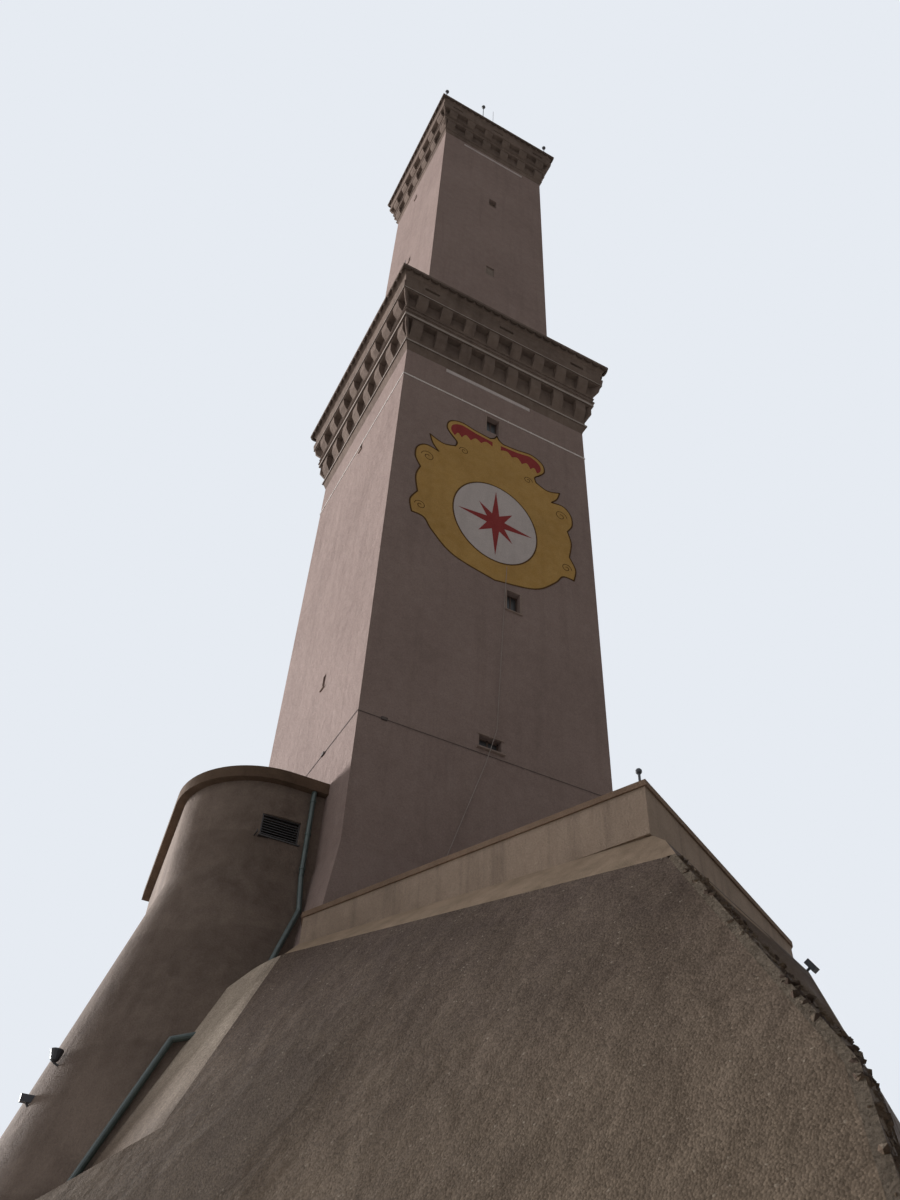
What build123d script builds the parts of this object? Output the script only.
"""Lighthouse on a battered bastion, a scale model at one tenth of the real size.

Millimetres, +Z up. The origin is the tower's axis at ground level. The front looks along -Y and
the left side along -X. The bastion's near corner points to the front left.
"""

import math
import os

from build123d import *

# Levels above the ground
terrace_level = 1050
plinth_top = 1460
lower_gallery_level = 3855
lower_walkway_level = 4245
upper_gallery_level = 6660
upper_walkway_level = 6940

# Shafts: half of the outside width, wall thickness, and the seat cut back behind a gallery
lower_half = 450
lower_wall = 200
upper_half = 350
upper_wall = 150
gallery_seat = 20
plinth_batter = 0.18
floor_thickness = 20
walkway_slab = 25

# Windows and doors: place along the wall, sill height, width, height
front_windows = [(-20, 3541, 60, 100), (79, 2543, 55, 97), (-6, 1911, 80, 50)]
side_windows = [(-65, 2239, 26, 60), (-24, 3622, 26, 60)]
upper_front_windows = [(4, 5950, 50, 90), (-1, 5100, 50, 90)]
upper_side_windows = [(-2, 5510, 26, 60), (53, 6470, 26, 60)]
lower_floor_levels = [1830, 2460, 3460]
upper_floor_levels = [5040, 5860]
door_width = 100
door_height = 210
lantern_door_share = 0.7
gallery_door_share = 0.8
upper_door_height = 189

# Bastion: near corner of the parapet's outer face, wall headings in degrees, slopes run over rise
bastion_corner = (-231, -1431)
left_wall_heading = 112.1
right_wall_heading = 27.9
far_wall_heading = 62
left_wall_length = 895
right_wall_length = 745
far_side_x = 850
rear_side_y = 900
wall_batter = 0.6
ledge_width = 111
ledge_drop = 125
left_ledge_top = 1042
left_ledge_slope = 1.02
left_ledge_rise = 0.05
parapet_height = 110
parapet_wall = 30
coping_height = 12
coping_lip = 4

# Left facet of the bastion beside the turret, where it meets the tower's middle line at the terrace, and
# the flatter skirt at its foot
left_facet_x = -695
left_facet_turn = -0.124
left_facet_batter = 0.508
skirt_top = 632
skirt_batter = 1.27
skirt_foot_top = 520
skirt_foot_batter = 0.6
skirt_rear = (-900, -300)
skirt_rear_batter = 0.5
skirt_rear_turn = -0.1

# Right side, whose facing has fallen: level, offset from the parapet's face there, batter, inward turn
right_faces = [(925, 96, 0.65, -0.07), (545, 291, 0.34, 0.107), (433, 320, 0.15, 0.107)]
rubble_depth = 15
rubble_reach = 120
rubble_margin = 25
rubble_stones = 24
rubble_length = 150
rubble_side = 50

# Turret: plan centre, radius of the round front, rake of its flank, flare of its foot
turret_stand_out = 110
turret_centre = (-lower_half - turret_stand_out, -40)
turret_radius = 233
turret_flank_rake = 6.5
turret_rear_y = 610
turret_wall = 40
turret_slab_top = 1720
turret_slab = 35
turret_slab_lip = 25
flare_top = 1420
flare_break = 1240
flare_break_offset = 55
flare_batter = 0.307
louvre_width = 111
louvre_height = 70
louvre_drop = 100
louvre_sill = turret_slab_top - turret_slab - louvre_drop - louvre_height
louvre_turn = -1
louvre_frame = 4
louvre_depth = 12
louvre_setback = 8
louvre_slats = 8
louvre_slat = 1.5
louvre_slat_tilt = 40

# Lantern on the upper gallery
drum_radius = 165
drum_wall = 30
drum_height = 250
drum_rim = 18
lantern_radius = 135
lantern_posts = 12
lantern_post_width = 8
lantern_glass_height = 205
lantern_glass = 3
dome_height = 95
lantern_eaves = 14
eaves_height = 12
lantern_pane_clearance = 13
dome_sides = 24
dome_bands = 6
dome_cap_radius = 16
ball_bands = 7
ball_sides = 12
rod_sides = 8
pipe_sides = 12
finial_ball = 22
finial_rod = 8
finial_rod_height = 138
finial_seat = 3

# Downpipe of the turret's roof: its head, then bends and straps as steps from the head. The upper run
# ends in the terrace, and the outfall comes out of the bastion below it.
pipe_place = 71
pipe_stand_off = 14
pipe_head = (
    turret_centre[0] + pipe_place,
    turret_centre[1] - turret_radius - pipe_stand_off,
    turret_slab_top - turret_slab,
)
pipe_bends = [(0, 0, 0), (0, 0, -267), (-2, -34, -379), (-52, -74, -509), (-101, -109, -645)]
outfall_bends = [(-151, -141, -745), (-264, -107, -781), (-381, -127, -1050), (-461, -140, -1235)]
pipe_radius = 7.5
pipe_collar_radius = 9
pipe_collar_height = 6
pipe_strap_drops = [35, 140, 245]
pipe_strap_width = 5

# Door leaves, standing open
leaf_thickness = 6
leaf_gap = 2
foot_leaf_setback = 20
gallery_leaf_setback = 15

# Lamps and thin rods on the galleries: place along the coping and height of the stem
parapet_lamp_stems = [(-401, 80), (-126, 185), (353, 85)]
parapet_lamp_radius = 13
parapet_rod = (-50, 205)
gallery_rod_height = 40
coping_edge_inset = 8
lamp_stem_radius = 2.5

# Small lamp at the bastion's near corner, floodlight on its right side, and two lamps on the turret's foot
corner_lamp_place = 17
corner_lamp_radius = 6.5
corner_lamp_height = 35
floodlight_level = 885
floodlight_place = 290
floodlight_size = (22, 14, 11)
floodlight_lift = 12
wall_lamp_place = (-951, -163, 883)
wall_lamp_rings = [(4, 0), (10, 5), (16, 26), (14, 28)]
wall_lamp_arm = (30, 0, -12)
side_lamp_place = (-979, -137, 800)
side_lamp_size = (30, 14, 16)
side_lamp_arm = (40, 0, -45)

corner = (Align.MIN, Align.MIN, Align.MIN)
upright = (Align.CENTER, Align.CENTER, Align.MIN)
sides = {"front": 0, "right": 90, "back": 180, "left": -90}


def block(x_low, x_high, y_low, y_high, z_low, z_high):
    """Square-cornered solid between two corners."""
    return Pos(x_low, y_low, z_low) * Box(x_high - x_low, y_high - y_low, z_high - z_low, align=corner)


def prism(points, z_low, z_high):
    """Upright solid on a plan outline."""
    return Pos(0, 0, z_low) * extrude(make_face(Polyline(*points, close=True)), z_high - z_low)


def keep_inside(shape, origin, outward):
    """The part of a shape behind a plane."""
    return split(shape, bisect_by=Plane(origin=origin, z_dir=outward), keep=Keep.BOTTOM)


def heading(degrees):
    """Unit vector in plan at an angle from +X."""
    return Vector(math.cos(math.radians(degrees)), math.sin(math.radians(degrees)))


def plan_crossing(point_a, direction_a, point_b, direction_b):
    """Where two plan lines cross."""
    gap = Vector(*point_b) - Vector(*point_a)
    turn = direction_a.X * direction_b.Y - direction_a.Y * direction_b.X
    along = (gap.X * direction_b.Y - gap.Y * direction_b.X) / turn
    place = Vector(*point_a) + direction_a * along
    return (place.X, place.Y)


def side_wedge(reach, z_low, z_high, rib=0):
    """A quarter of the plan, towards the front, moved out by a diagonal rib."""
    return Pos(0, -rib, 0) * prism([(0, 0), (-reach, -reach), (reach, -reach)], z_low, z_high)


def cut_windows(wall, windows, depth):
    """Window openings straight through a front wall."""
    for place, sill, width, height in windows:
        wall -= block(place - width / 2, place + width / 2, -depth, 0, sill, sill + height)
    return wall


def shaft_wall(half, thickness, z_low, z_seat, z_top, full_width):
    """One wall of a shaft, in the front's place, set back above z_seat for the gallery."""
    inner = half - thickness
    seat = half - gallery_seat
    reach = half if full_width else inner
    seat_reach = seat if full_width else inner
    wall = block(-reach, reach, -half, -inner, z_low, z_seat)
    return wall + block(-seat_reach, seat_reach, -seat, -inner, z_seat, z_top)


def shaft_walls(half, thickness, z_low, z_seat, z_top, windows_front, windows_side):
    """The four walls of a shaft, the back like the front and the right like the left."""
    walls = {}
    for side, turn in sides.items():
        full_width = side in ("front", "back")
        wall = shaft_wall(half, thickness, z_low, z_seat, z_top, full_width)
        windows = windows_front if full_width else windows_side
        if side == "left":
            windows = [(-place, sill, width, height) for place, sill, width, height in windows]
        walls[side] = Rot(0, 0, turn) * cut_windows(wall, windows, half)
    return walls


def plinth_quarter():
    """Front quarter of the battered foot, mitred at its corners."""
    rise = plinth_top - terrace_level
    foot = lower_half + plinth_batter * rise
    ring = prism([(-foot, -foot), (foot, -foot), (foot, 0), (-foot, 0)], terrace_level, plinth_top)
    ring = keep_inside(ring, (0, -foot, terrace_level), (0, -1, plinth_batter))
    inner = lower_half - lower_wall
    ring -= block(-inner, inner, -inner, 0, terrace_level, plinth_top)
    return ring & side_wedge(foot, terrace_level, plinth_top)


def plinth_envelope():
    """Whole outside form of the foot and shaft, for cutting what stands against it."""
    foot = lower_half + plinth_batter * (plinth_top - terrace_level)
    form = block(-foot, foot, -foot, foot, terrace_level, plinth_top)
    for turn in sides.values():
        normal = Vector(0, -1, plinth_batter).rotate(Axis.Z, turn)
        place = Vector(0, -foot, terrace_level).rotate(Axis.Z, turn)
        form = keep_inside(form, place, normal)
    form += block(-foot, foot, -foot, foot, 0, terrace_level)
    return form + block(-lower_half, lower_half, -lower_half, lower_half, plinth_top, lower_gallery_level)


def outline_course(points, reach):
    """Front quarter of a ring whose section is given as distance from the axis and height."""
    section = make_face(Polyline(*[(0, -distance, z) for distance, z in points], close=True))
    bar = Pos(-reach, 0, 0) * extrude(section, 2 * reach, dir=(1, 0, 0))
    low = min(z for distance, z in points)
    high = max(z for distance, z in points)
    return bar & side_wedge(reach, low, high)


class Gallery:
    """Sizes of one gallery, as distances from the tower's axis and heights above its foot."""

    def __init__(self, half, level, walkway, parapet_height, niches, pitch):
        self.half = half
        self.level = level
        self.walkway = walkway
        self.top = walkway + parapet_height
        self.niches = niches
        self.pitch = pitch


lower_niche_pitch = 122
upper_niche_pitch = 131
gallery_parapet_height = 100
lower_gallery = Gallery(
    lower_half, lower_gallery_level, lower_walkway_level, gallery_parapet_height, 7, lower_niche_pitch
)
upper_gallery = Gallery(
    upper_half, upper_gallery_level, upper_walkway_level, gallery_parapet_height, 5, upper_niche_pitch
)

# Gallery courses: share of the height from foot to walkway where each ends
moulding_low_share = 0.14
lower_row_foot_share = 0.2
lower_row_share = 0.5
moulding_middle_share = 0.575
neck_share = 0.64
upper_row_foot_share = 0.68
upper_row_share = 0.885

# How far each course stands out from the shaft, as a share of the corbelled height
foot_share = 0.045
low_share = 0.028
lower_head_share = 0.095
middle_share = 0.13
upper_low_share = 0.115
upper_head_share = 0.195
top_share = 0.22
parapet_foot_share = 0.195
parapet_head_share = 0.21
coping_share = 0.277
fillet_share = 0.012
corbel_bulge = 0.1

niche_width_share = 0.57
niche_margin_share = 0.05
corner_rib_share = 0.12
gallery_coping = 15
gallery_cornice = 20
gallery_parapet_wall = 30
gallery_coping_lip = 4
slot_width = 75
slot_height = 26
slot_spread = 0.87
slot_drop = 8


def corbel_front(foot, head):
    """Front of a corbel, from its foot up to its head, in two flat runs that swell a little."""
    low = Vector(0, -foot[0], foot[1])
    high = Vector(0, -head[0], head[1])
    rise = high - low
    side = Vector(0, -rise.Z, rise.Y).normalized()
    middle = (low + high) / 2 + side * rise.length * corbel_bulge
    return [Line(low, middle), Line(middle, high)]


def course_section(inner, below, corbel_foot, corbel_head):
    """Section of one corbel row with the moulding under it, in the plane across the front."""
    line = [(0, -distance, z) for distance, z in below]
    foot = (0, -corbel_foot[0], corbel_foot[1])
    edges = [
        *[Line(first, second) for first, second in zip(line, line[1:])],
        Line(line[-1], foot),
        *corbel_front(corbel_foot, corbel_head),
        Line((0, -corbel_head[0], corbel_head[1]), (0, -inner, corbel_head[1])),
        Line((0, -inner, corbel_head[1]), line[0]),
    ]
    return make_face(edges)


def front_quarter(section, reach, low, high):
    """Front quarter of a ring with a section, mitred at the corners."""
    bar = Pos(-reach, 0, 0) * extrude(section, 2 * reach, dir=(1, 0, 0))
    return bar & side_wedge(reach, low, high)


def niche_row(gallery, back, reach, low, high):
    """A row of square niches with a part niche at each end, cut off by a rib on the diagonal."""
    half_width = niche_width_share * gallery.pitch / 2
    margin = niche_margin_share * (high - low)
    one = block(-half_width, half_width, -reach, -back, low + margin, high - margin)
    middle = (gallery.niches - 1) / 2
    cutters = [Pos((index - middle) * gallery.pitch, 0, 0) * one for index in range(-1, gallery.niches + 1)]
    limit = side_wedge(reach, low, high, rib=corner_rib_share * 2 * half_width)
    return cutters[1:-1] + [cutters[0] & limit, cutters[-1] & limit]


def courses(gallery):
    """Front quarters of the two corbel tables and of the parapet with its coping."""
    rise = gallery.walkway - gallery.level
    seat = gallery.half - gallery_seat
    low_levels = [moulding_low_share, lower_row_foot_share, lower_row_share]
    z1, z1_row, z2 = [gallery.level + share * rise for share in low_levels]
    high_levels = [moulding_middle_share, neck_share, upper_row_foot_share, upper_row_share]
    z3, z3_neck, z3_row, z4 = [gallery.level + share * rise for share in high_levels]
    z5 = gallery.walkway
    fillet = fillet_share * rise
    low_shares = (foot_share, low_share, lower_head_share)
    foot, low, lower_head = [gallery.half + share * rise for share in low_shares]
    high_shares = (middle_share, upper_low_share, upper_head_share, top_share)
    middle, upper_low, upper_head, top = [gallery.half + share * rise for share in high_shares]
    reach = gallery.half + coping_share * rise
    under = [
        (seat, gallery.level),
        (gallery.half, gallery.level),
        (foot - fillet, z1 - 2 * fillet),
        (foot, z1 - 2 * fillet),
        (foot, z1),
        (low, z1),
    ]
    lower_section = course_section(seat, under, (low, z1_row), (lower_head, z2))
    lower = front_quarter(lower_section, reach, gallery.level, z2)
    between = [
        (seat, z2),
        (lower_head + fillet, z2),
        (lower_head + fillet, z2 + fillet),
        (middle - fillet, z3 - fillet),
        (middle, z3 - fillet),
        (middle, z3),
        (upper_low, z3),
        (upper_low, z3_neck),
        (upper_low + fillet, z3_neck),
        (upper_low + fillet, z3_neck + fillet),
        (upper_low, z3_neck + fillet),
    ]
    upper_section = course_section(seat, between, (upper_low, z3_row), (upper_head, z4))
    upper = front_quarter(upper_section, reach, z2, z4)
    head = [(seat, z4), (upper_head + fillet, z4), (upper_head + fillet, z4 + fillet)]
    upper += outline_course([*head, (top, z5 - fillet), (top, z5), (seat, z5)], reach)
    for cutter in niche_row(gallery, low - fillet / 2, reach, z1_row, z2):
        lower -= cutter
    for cutter in niche_row(gallery, upper_low - fillet / 2, reach, z3_row, z4):
        upper -= cutter
    z7 = gallery.top - gallery_coping
    z6 = z7 - gallery_cornice
    parapet_foot = gallery.half + parapet_foot_share * rise
    parapet_head = gallery.half + parapet_head_share * rise
    inner = parapet_foot - gallery_parapet_wall
    brow = reach - gallery_coping_lip
    section = [(inner, z5), (parapet_foot, z5), (parapet_head, z6), (brow, z7), (inner, z7)]
    parapet = outline_course(section, reach)
    spread = slot_spread * gallery.half
    for place in (-spread, 0, spread):
        parapet -= block(
            place - slot_width / 2,
            place + slot_width / 2,
            -reach,
            -inner,
            z5 + slot_drop,
            z5 + slot_drop + slot_height,
        )
    lip = inner - gallery_coping_lip
    parapet += outline_course([(lip, z7), (reach, z7), (reach, gallery.top), (lip, gallery.top)], reach)
    return {"lower_corbels": lower, "upper_corbels": upper, "parapet": parapet}


def around(quarter, first, second):
    """Two opposite copies of a front quarter, which don't touch."""
    return [Rot(0, 0, sides[first]) * quarter, Rot(0, 0, sides[second]) * quarter]


# Bastion directions and plan corners
left_way = heading(left_wall_heading)
right_way = heading(right_wall_heading)
far_way = heading(far_wall_heading)
left_out = heading(left_wall_heading + 90)
right_out = heading(right_wall_heading - 90)
far_out = heading(far_wall_heading - 90)
corner_point = Vector(*bastion_corner)
left_end = corner_point + left_way * left_wall_length
right_end = corner_point + right_way * right_wall_length
far_corner = plan_crossing((right_end.X, right_end.Y), far_way, (far_side_x, 0), Vector(0, 1))
plinth_foot = lower_half + plinth_batter * (plinth_top - terrace_level)
ledge_level = terrace_level - ledge_drop


def wall_offset(z):
    """How far a battered wall stands outside the parapet's face at a level."""
    return ledge_width + wall_batter * (ledge_level - z)


def cut_right_faces(mass, depth=0):
    """The mass behind the planes of the right side, moved in by a depth."""
    for level, offset, batter, turn in right_faces:
        place = corner_point + right_out * (offset - depth)
        normal = right_out + right_way * turn
        mass = keep_inside(mass, (place.X, place.Y, level), (normal.X, normal.Y, batter))
    return mass


def battered_block(top):
    """The mass up to a level, inside its battered walls and its fallen right side."""
    spread = wall_batter * terrace_level + ledge_width
    reach = 4 * spread
    mass = block(
        left_facet_x - reach,
        far_side_x + reach,
        bastion_corner[1] - reach,
        rear_side_y + reach,
        0,
        top,
    )
    walls = [
        (corner_point, left_out),
        (right_end, far_out),
        (Vector(far_side_x, 0), Vector(1, 0)),
        (Vector(0, rear_side_y), Vector(0, 1)),
    ]
    for point, out in walls:
        foot = point + out * ledge_width
        mass = keep_inside(mass, (foot.X, foot.Y, ledge_level), (out.X, out.Y, wall_batter))
    return cut_right_faces(mass)


def cut_ledges(mass):
    """Slopes the top down from the foot of the parapets, on the left rising away from the corner."""
    slope = ledge_drop / ledge_width
    outs = [
        (corner_point, right_out),
        (right_end, far_out),
        (Vector(far_side_x, 0), Vector(1, 0)),
        (Vector(0, rear_side_y), Vector(0, 1)),
    ]
    for point, out in outs:
        mass = keep_inside(mass, (point.X, point.Y, terrace_level), (out.X * slope, out.Y * slope, 1))
    fall = left_out * left_ledge_slope - left_way * left_ledge_rise
    return keep_inside(mass, (corner_point.X, corner_point.Y, left_ledge_top), (fall.X, fall.Y, 1))


def cut_left_side(mass, x, level, batter):
    """The mass behind a battered plane on its left, whose place is given on the tower's middle line."""
    return keep_inside(mass, (x, 0, level), (-1, left_facet_turn, batter))


def bastion_envelope():
    """The battered mass with its ledges, its left facet and the flatter skirt below the facet."""
    mass = battered_block(terrace_level)
    facet = cut_left_side(mass, left_facet_x, terrace_level, left_facet_batter)
    skirt_x = left_facet_x - left_facet_batter * (terrace_level - skirt_top)
    foot_x = skirt_x - skirt_batter * (skirt_top - skirt_foot_top)
    skirt = cut_left_side(mass, skirt_x, skirt_top, skirt_batter)
    skirt = cut_left_side(skirt, foot_x, skirt_foot_top, skirt_foot_batter)
    skirt = keep_inside(skirt, (0, 0, skirt_top), (0, 0, 1))
    skirt = keep_inside(skirt, (*skirt_rear, skirt_top), (skirt_rear_turn, 1, skirt_rear_batter))
    mass = cut_ledges(facet + skirt)
    ledge_top = left_ledge_top + left_ledge_rise * left_wall_length
    rise = keep_inside(battered_block(ledge_top), (0, 0, terrace_level), (0, 0, -1))
    rise = cut_left_side(rise, left_facet_x, terrace_level, left_facet_batter)
    rise = keep_inside(rise, (left_end.X, left_end.Y, 0), (left_way.X, left_way.Y, 0))
    rise = keep_inside(rise, (corner_point.X, corner_point.Y, 0), (-left_out.X, -left_out.Y, 0))
    return mass + cut_ledges(rise)


def hip_point(z, depth):
    """Where the left wall meets the fallen right side in plan, moved in by a depth."""
    on_left = corner_point + left_out * wall_offset(z)
    crossings = []
    for level, offset, batter, turn in right_faces:
        on_right = corner_point + right_out * (offset + batter * (level - z) - depth)
        way = right_way - right_out * turn
        crossings.append(plan_crossing((on_left.X, on_left.Y), left_way, (on_right.X, on_right.Y), way))
    return min(crossings, key=lambda point: (Vector(*point) - corner_point).length)


def corner_slice(mass):
    """Splits off the strip along the hip whose facing has fallen from the right side."""
    left = corner_point + left_out * (wall_offset(0) - rubble_reach)
    strip = mass - cut_right_faces(mass, rubble_depth)
    strip -= keep_inside(strip, (left.X, left.Y, 0), (left_out.X, left_out.Y, wall_batter))
    strip = keep_inside(strip, (0, 0, ledge_level), (0, 0, 1))
    return mass - strip, strip


def rubble(strip):
    """Rough stones of the bared core, up the hip of the near corner."""
    stones = []
    for index in range(rubble_stones):
        z = rubble_margin + (ledge_level - 2 * rubble_margin) * index / (rubble_stones - 1)
        place = hip_point(z, rubble_depth / 2)
        stone = Box(
            rubble_length * (1 + math.sin(2.3 * index) / 3),
            rubble_side * (1 + math.cos(3.7 * index) / 6),
            rubble_side * (1 + math.sin(1.9 * index) / 4),
        )
        tilt = Rot(12 * math.sin(3.1 * index), 16 * math.cos(2.7 * index), right_wall_heading)
        stones.append(Pos(place[0], place[1], z) * tilt * stone)
    heap = stones[0]
    for stone in stones[1:]:
        heap += stone
    return heap & strip


def offset_corner(before, point, after, distance):
    """Mitre point of a plan outline moved to its left by a distance."""
    first = (Vector(*point) - Vector(*before)).normalized()
    second = (Vector(*after) - Vector(*point)).normalized()
    first_side = Vector(-first.Y, first.X)
    second_side = Vector(-second.Y, second.X)
    start = Vector(*point) + first_side * distance
    other = Vector(*point) + second_side * distance
    return plan_crossing((start.X, start.Y), first, (other.X, other.Y), second)


def offset_line(points, distance):
    """A plan polyline moved sideways, square at its two ends."""
    first = (Vector(*points[1]) - Vector(*points[0])).normalized()
    last = (Vector(*points[-1]) - Vector(*points[-2])).normalized()
    start = Vector(*points[0]) + Vector(-first.Y, first.X) * distance
    end = Vector(*points[-1]) + Vector(-last.Y, last.X) * distance
    inner = range(1, len(points) - 1)
    middle = [offset_corner(*points[index - 1 : index + 2], distance) for index in inner]
    return [(start.X, start.Y)] + middle + [(end.X, end.Y)]


def wall_run(points, outer, inner, z_low, z_high):
    """Mitred lengths of wall along a plan outline, one for each leg."""
    outside = offset_line(points, outer)
    inside = offset_line(points, inner)
    legs = range(len(points) - 1)
    return [prism([outside[i], outside[i + 1], inside[i + 1], inside[i]], z_low, z_high) for i in legs]


def turret_plan(offset, z):
    """Plan face of the turret: straight front, round corner, raked flank, square rear."""
    centre = Vector(*turret_centre)
    radius = turret_radius + offset
    rake = heading(90 - turret_flank_rake)
    tangent = centre + Vector(-rake.Y, rake.X) * radius
    rear_y = turret_rear_y + offset
    rear = tangent + rake * ((rear_y - tangent.Y) / rake.Y)
    front = centre + Vector(0, -radius)
    middle = centre + heading(225) * radius
    outline = [
        Line((0, front.Y), (front.X, front.Y)),
        ThreePointArc((front.X, front.Y), (middle.X, middle.Y), (tangent.X, tangent.Y)),
        Line((tangent.X, tangent.Y), (rear.X, rear.Y)),
        Line((rear.X, rear.Y), (0, rear_y)),
        Line((0, rear_y), (0, front.Y)),
    ]
    return Pos(0, 0, z) * make_face(outline)


def turret_form(z_low, z_high):
    """Outside form of the turret between two levels, flared towards its foot."""
    levels = {
        0: flare_break_offset + flare_batter * flare_break,
        flare_break: flare_break_offset,
        flare_top: 0,
        turret_slab_top - turret_slab: 0,
    }
    heights = list(levels)
    form = None
    for low, high in zip(heights, heights[1:]):
        ring = loft([turret_plan(levels[low], low), turret_plan(levels[high], high)], ruled=True)
        form = ring if form is None else form + ring
    form = keep_inside(form, (0, 0, z_high), (0, 0, 1))
    return keep_inside(form, (0, 0, z_low), (0, 0, -1))


def louvre():
    """Frame of the turret's louvre with its slats, set back in the opening."""
    front = -turret_radius + louvre_setback
    back = front + louvre_depth
    half = louvre_width / 2
    inner = half - louvre_frame
    low = louvre_sill + louvre_frame
    high = louvre_sill + louvre_height - louvre_frame
    opening = block(-inner, inner, front, back, low, high)
    frame = block(-half, half, front, back, louvre_sill, louvre_sill + louvre_height) - opening
    slat = Rot(louvre_slat_tilt, 0, 0) * Box(2 * inner, 2 * louvre_depth, louvre_slat)
    pitch = (high - low) / louvre_slats
    for index in range(louvre_slats):
        place = Pos(0, (front + back) / 2, low + (index + 0.5) * pitch)
        frame += place * slat & opening
    return frame


def turret_pieces(bastion, tower):
    """Solid base, hollow walls, louvre and roof slab of the turret."""
    slab_low = turret_slab_top - turret_slab
    base = turret_form(0, terrace_level) - bastion - tower
    room = extrude(turret_plan(-turret_wall, terrace_level), slab_low - terrace_level)
    walls = turret_form(terrace_level, slab_low) - room - tower
    front_line = turret_centre[1]
    rear_line = turret_rear_y - turret_wall
    front = keep_inside(walls, (0, front_line, 0), (0, 1, 0))
    flank = keep_inside(walls, (0, front_line, 0), (0, -1, 0))
    flank = keep_inside(flank, (0, rear_line, 0), (0, 1, 0))
    rear = keep_inside(walls, (0, rear_line, 0), (0, -1, 0))
    centre = Pos(turret_centre[0], turret_centre[1], 0) * Rot(0, 0, louvre_turn)
    front -= centre * block(
        -louvre_width / 2,
        louvre_width / 2,
        -turret_radius - turret_wall,
        -turret_radius + 2 * turret_wall,
        louvre_sill,
        louvre_sill + louvre_height,
    )
    slab = extrude(turret_plan(turret_slab_lip, slab_low), turret_slab) - tower
    return {
        "turret_base": base,
        "turret_front_wall": front,
        "turret_louvre": centre * louvre(),
        "turret_flank_wall": flank,
        "turret_rear_wall": rear,
        "turret_roof_slab": slab,
    }


def flat_sided(rings, count):
    """Solid of flat plates round the upright axis, through rings given as distance and height."""
    corners = [heading(360 * index / count) for index in range(count)]
    loops = [[Vector(c.X * distance, c.Y * distance, z) for c in corners] for distance, z in rings]
    plates = [make_face(Polyline(*loops[0], close=True)), make_face(Polyline(*loops[-1], close=True))]
    for low, high in zip(loops, loops[1:]):
        for index in range(count):
            after = (index + 1) % count
            plate = Polyline(low[index], low[after], high[after], high[index], close=True)
            plates.append(make_face(plate))
    return Solid(Shell(plates))


def ball(radius):
    """Small ball in flat facets."""
    steps = [180 * (index + 0.5) / ball_bands for index in range(ball_bands)]
    rings = [(radius * math.sin(math.radians(a)), -radius * math.cos(math.radians(a))) for a in steps]
    return flat_sided(rings, ball_sides)


def rod(radius, low, high):
    """Round bar between two points."""
    way = Vector(*high) - Vector(*low)
    return Plane(origin=low, z_dir=way) * extrude(RegularPolygon(radius, rod_sides), way.length)


def pipe_run(bends):
    """Length of the pipe through bends given as steps from its head."""
    line = Polyline(*[Vector(*pipe_head) + Vector(*bend) for bend in bends])
    section = Plane(origin=line @ 0, z_dir=line % 0) * RegularPolygon(pipe_radius, pipe_sides)
    return sweep(section, line, transition=Transition.RIGHT)


def downpipe(against):
    """Pipe down the front of the turret with its collars and straps, and its outfall."""
    x, y, top = pipe_head
    wall = turret_centre[1] - turret_radius
    half = pipe_strap_width / 2
    pipe = pipe_run(pipe_bends)
    for drop in pipe_strap_drops:
        level = top - drop
        collar = extrude(RegularPolygon(pipe_collar_radius, pipe_sides), pipe_collar_height)
        pipe += Pos(x, y, level) * collar
        pipe += block(x - half, x + half, y, wall, level, level + pipe_collar_height)
    return [pipe - against, pipe_run(outfall_bends) - against]


def door_leaves():
    """Leaves of the three doors at the back, standing open."""
    foot = block(
        -door_width / 2,
        -door_width / 2 + leaf_thickness,
        lower_half - foot_leaf_setback - door_width + leaf_gap,
        lower_half - foot_leaf_setback,
        terrace_level + leaf_gap,
        terrace_level + door_height - leaf_gap,
    )
    half = door_width * gallery_door_share / 2
    gallery = block(
        -half,
        -half + leaf_thickness,
        upper_half - gallery_leaf_setback - 2 * half + leaf_gap,
        upper_half - gallery_leaf_setback,
        lower_walkway_level + leaf_gap,
        lower_walkway_level + upper_door_height - leaf_gap,
    )
    half = door_width * lantern_door_share / 2
    jamb = math.sqrt(drum_radius**2 - (half + leaf_thickness) ** 2)
    drum = block(
        -half - leaf_thickness,
        -half,
        jamb,
        jamb + 2 * half,
        upper_walkway_level + leaf_gap,
        upper_walkway_level + upper_door_height - leaf_gap,
    )
    drum -= Pos(0, 0, upper_walkway_level) * Cylinder(drum_radius, drum_height, align=upright)
    return [foot, gallery, drum]


def lamp(place, stem_height, ball_radius):
    """Ball lamp on a stem."""
    x, y, z = place
    stem = rod(lamp_stem_radius, place, (x, y, z + stem_height))
    return stem + Pos(x, y, z + stem_height) * ball(ball_radius)


def coping_reach(gallery):
    """Distance from the axis to the outer edge of a gallery's coping."""
    return gallery.half + coping_share * (gallery.walkway - gallery.level)


def parapet_lamps():
    """Lamps and thin rods on the copings of the two galleries."""
    front = coping_edge_inset - coping_reach(upper_gallery)
    top = upper_gallery.top
    pieces = [lamp((x, front, top), stem, parapet_lamp_radius) for x, stem in parapet_lamp_stems]
    thin = lamp_stem_radius / 2
    x, height = parapet_rod
    pieces.append(rod(thin, (x, front, top), (x, front, top + height)))
    side = coping_edge_inset - coping_reach(lower_gallery)
    top = lower_gallery.top
    pieces.append(rod(thin, (side, side, top), (side, side, top + gallery_rod_height)))
    return pieces


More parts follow.
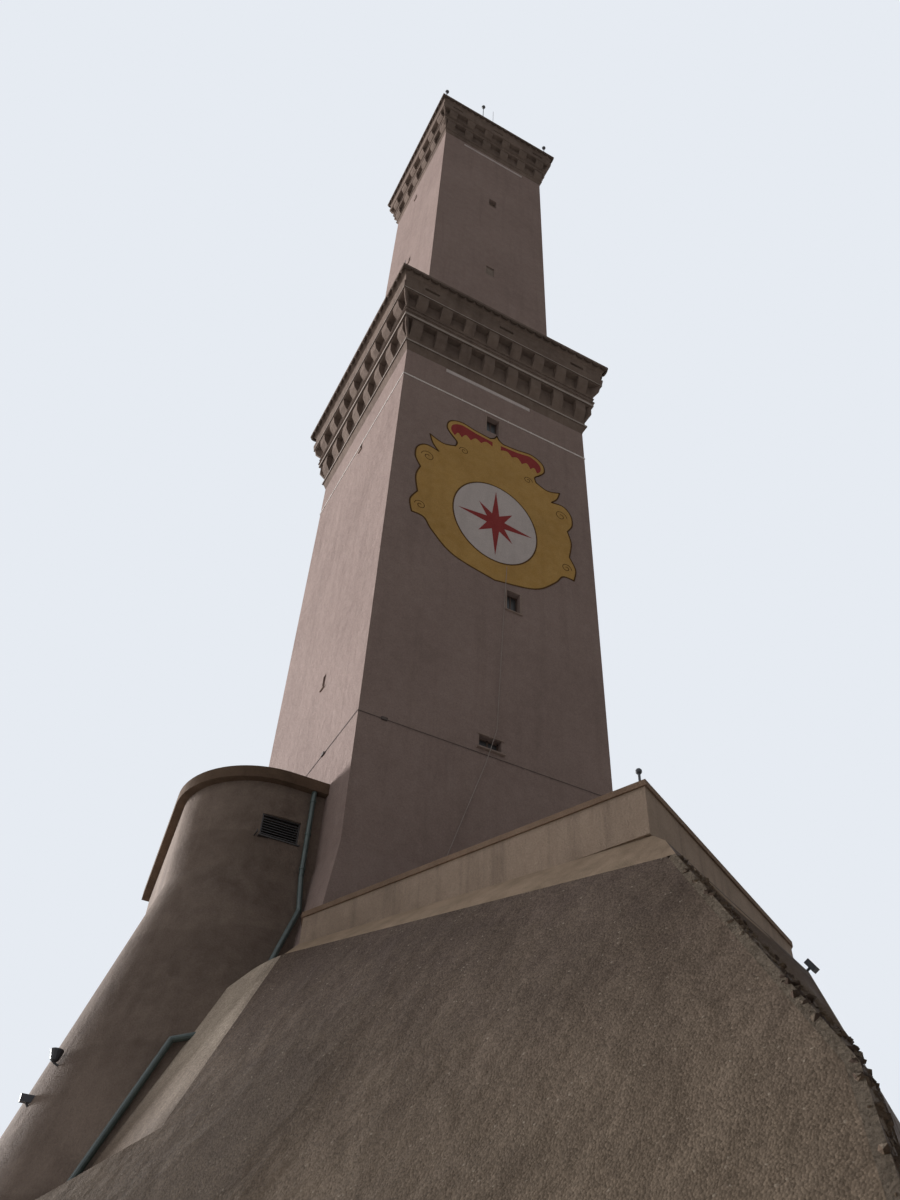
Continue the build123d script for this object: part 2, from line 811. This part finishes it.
def turret_lamps(against):
    """An open-topped lamp and a floodlight on arms from the turret's foot."""
    x, y, z = wall_lamp_place
    arm = rod(lamp_stem_radius, wall_lamp_place, Vector(x, y, z) + Vector(*wall_lamp_arm))
    bowl = Pos(x, y, z) * flat_sided(wall_lamp_rings, ball_sides)
    x, y, z = side_lamp_place
    side_arm = rod(lamp_stem_radius, side_lamp_place, Vector(x, y, z) + Vector(*side_lamp_arm))
    head = Pos(x, y, z) * Box(*side_lamp_size, align=upright)
    return [arm + bowl - against, side_arm + head - against]


def bastion_lamps(bastion, turret):
    """Lamps on the coping at the near corner, on the right side and on the turret's foot."""
    place = corner_point + left_way * corner_lamp_place - left_out * parapet_wall / 2
    small = lamp((place.X, place.Y, terrace_level + parapet_height), corner_lamp_height, corner_lamp_radius)
    level, offset, batter, turn = right_faces[0]
    out = offset + batter * (level - floodlight_level) - turn * floodlight_place
    place = corner_point + right_out * out + right_way * floodlight_place
    normal = Vector(right_out.X + right_way.X * turn, right_out.Y + right_way.Y * turn, batter)
    slope = Vector(right_out.X * batter, right_out.Y * batter, -1)
    spot = Plane(origin=(place.X, place.Y, floodlight_level), x_dir=slope, z_dir=normal)
    head = Pos(0, 0, floodlight_lift) * Box(*floodlight_size)
    arm = rod(lamp_stem_radius, (0, 0, -floodlight_lift), (0, 0, floodlight_lift))
    return [small, spot * (arm + head) - bastion, *turret_lamps(turret)]


def lantern():
    """Drum, floor, posts, panes, dome and finial on the upper walkway."""
    base = upper_walkway_level
    drum = Cylinder(drum_radius, drum_height, align=upright)
    drum -= Cylinder(drum_radius - drum_wall, drum_height, align=upright)
    half_door = door_width * lantern_door_share / 2
    drum -= block(-half_door, half_door, 0, drum_radius, 0, upper_door_height)
    floor = Cylinder(drum_radius + drum_rim, floor_thickness, align=upright)
    glass_low = base + drum_height + floor_thickness
    step = 360 / lantern_posts
    posts = []
    panes = []
    apothem = lantern_radius * math.cos(math.radians(step / 2))
    side = 2 * lantern_radius * math.sin(math.radians(step / 2))
    for index in range(lantern_posts):
        post = Pos(lantern_radius, 0, glass_low + lantern_glass_height / 2) * Box(
            lantern_post_width, lantern_post_width, lantern_glass_height
        )
        pane = Pos(apothem, 0, glass_low + lantern_glass_height / 2) * Box(
            lantern_glass, side - lantern_pane_clearance, lantern_glass_height
        )
        posts.append(Rot(0, 0, index * step) * post)
        panes.append(Rot(0, 0, (index + 0.5) * step) * pane)
    dome_base = glass_low + lantern_glass_height
    eaves = lantern_radius + lantern_eaves
    curve = [90 * index / dome_bands for index in range(dome_bands)]
    profile = [(eaves * math.cos(math.radians(a)), dome_height * math.sin(math.radians(a))) for a in curve]
    rings = [(eaves, -eaves_height), *profile, (dome_cap_radius, dome_height)]
    dome = Pos(0, 0, dome_base + eaves_height) * flat_sided(rings, dome_sides)
    dome_top = dome_base + eaves_height + dome_height
    finial = Pos(0, 0, dome_top + finial_ball) * ball(finial_ball)
    finial += rod(finial_rod / 2, (0, 0, dome_top - finial_seat), (0, 0, dome_top + finial_rod_height))
    finial -= dome
    return {
        "lantern_drum": Pos(0, 0, base) * drum,
        "lantern_floor": Pos(0, 0, base + drum_height) * floor,
        "lantern_posts": posts,
        "lantern_panes": panes,
        "lantern_dome": dome,
        "lantern_finial": finial,
    }


def floors(levels, half, thickness):
    """Floor slabs between the walls, with their tops at the given levels."""
    inner = half - thickness
    return [block(-inner, inner, -inner, inner, level - floor_thickness, level) for level in levels]


def build():
    """All pieces by name."""
    pieces = {}
    tower = plinth_envelope()
    bastion = bastion_envelope()
    mass, strip = corner_slice(bastion)
    pieces["bastion_mass"] = mass
    pieces["bastion_bared_rubble"] = rubble(strip)
    outline = [
        (-plinth_foot, -plinth_foot + parapet_wall),
        (left_end.X, left_end.Y),
        bastion_corner,
        (right_end.X, right_end.Y),
        far_corner,
        (far_side_x, rear_side_y),
        (left_end.X, rear_side_y),
        (left_end.X, turret_rear_y),
    ]
    top = terrace_level + parapet_height
    against = tower + turret_form(0, turret_slab_top - turret_slab)
    walls = wall_run(outline, 0, parapet_wall, terrace_level, top - coping_height)
    copings = wall_run(outline, -coping_lip, parapet_wall + coping_lip, top - coping_height, top)
    entry, left, right, far, far_rear, rear, turret_side = [wall - against for wall in walls]
    pieces["bastion_parapet_left"] = left
    pieces["bastion_parapet_right"] = right
    pieces["bastion_parapet_far"] = far + far_rear
    pieces["bastion_parapet_rear"] = rear
    pieces["bastion_parapet_returns"] = [entry, turret_side]
    entry, left, right, far, far_rear, rear, turret_side = [coping - against for coping in copings]
    pieces["bastion_copings_left_far"] = [left, far + far_rear]
    pieces["bastion_copings_right_rear"] = [right, rear]
    pieces["bastion_copings_returns"] = [entry, turret_side]
    pieces.update(turret_pieces(bastion, tower))
    pieces["downpipe"] = downpipe(against + bastion)
    pieces["door_leaves"] = door_leaves()
    pieces["parapet_lamps"] = parapet_lamps()
    pieces["bastion_lamps"] = bastion_lamps(bastion, against)
    quarter = plinth_quarter()
    for side, turn in sides.items():
        piece = Rot(0, 0, turn) * quarter
        if side == "back":
            half_door = door_width / 2
            door_top = terrace_level + door_height
            piece -= block(-half_door, half_door, 0, plinth_foot, terrace_level, door_top)
        pieces[f"plinth_{side}"] = piece
    walls = shaft_walls(
        lower_half,
        lower_wall,
        plinth_top,
        lower_gallery_level,
        lower_walkway_level - walkway_slab,
        front_windows,
        side_windows,
    )
    for side, wall in walls.items():
        pieces[f"lower_wall_{side}"] = wall
    walls = shaft_walls(
        upper_half,
        upper_wall,
        lower_walkway_level,
        upper_gallery_level,
        upper_walkway_level - walkway_slab,
        upper_front_windows,
        upper_side_windows,
    )
    half_door = door_width * gallery_door_share / 2
    door_top = lower_walkway_level + upper_door_height
    walls["back"] -= block(-half_door, half_door, 0, upper_half, lower_walkway_level, door_top)
    for side, wall in walls.items():
        pieces[f"upper_wall_{side}"] = wall
    pieces["lower_floors"] = floors(lower_floor_levels, lower_half, lower_wall)
    pieces["upper_floors"] = floors(upper_floor_levels, upper_half, upper_wall)
    for name, gallery in (("lower", lower_gallery), ("upper", upper_gallery)):
        for course, quarter in courses(gallery).items():
            pieces[f"{name}_gallery_{course}_front_back"] = around(quarter, "front", "back")
            pieces[f"{name}_gallery_{course}_sides"] = around(quarter, "left", "right")
        seat = gallery.half - gallery_seat
        pieces[f"{name}_gallery_floor"] = block(
            -seat, seat, -seat, seat, gallery.walkway - walkway_slab, gallery.walkway
        )
    pieces.update(lantern())
    return pieces


def main():
    os.makedirs("parts", exist_ok=True)
    for name, piece in build().items():
        if isinstance(piece, list):
            piece = Compound(piece)
        export_step(piece, f"parts/{name}.step")
    print("built")


main()
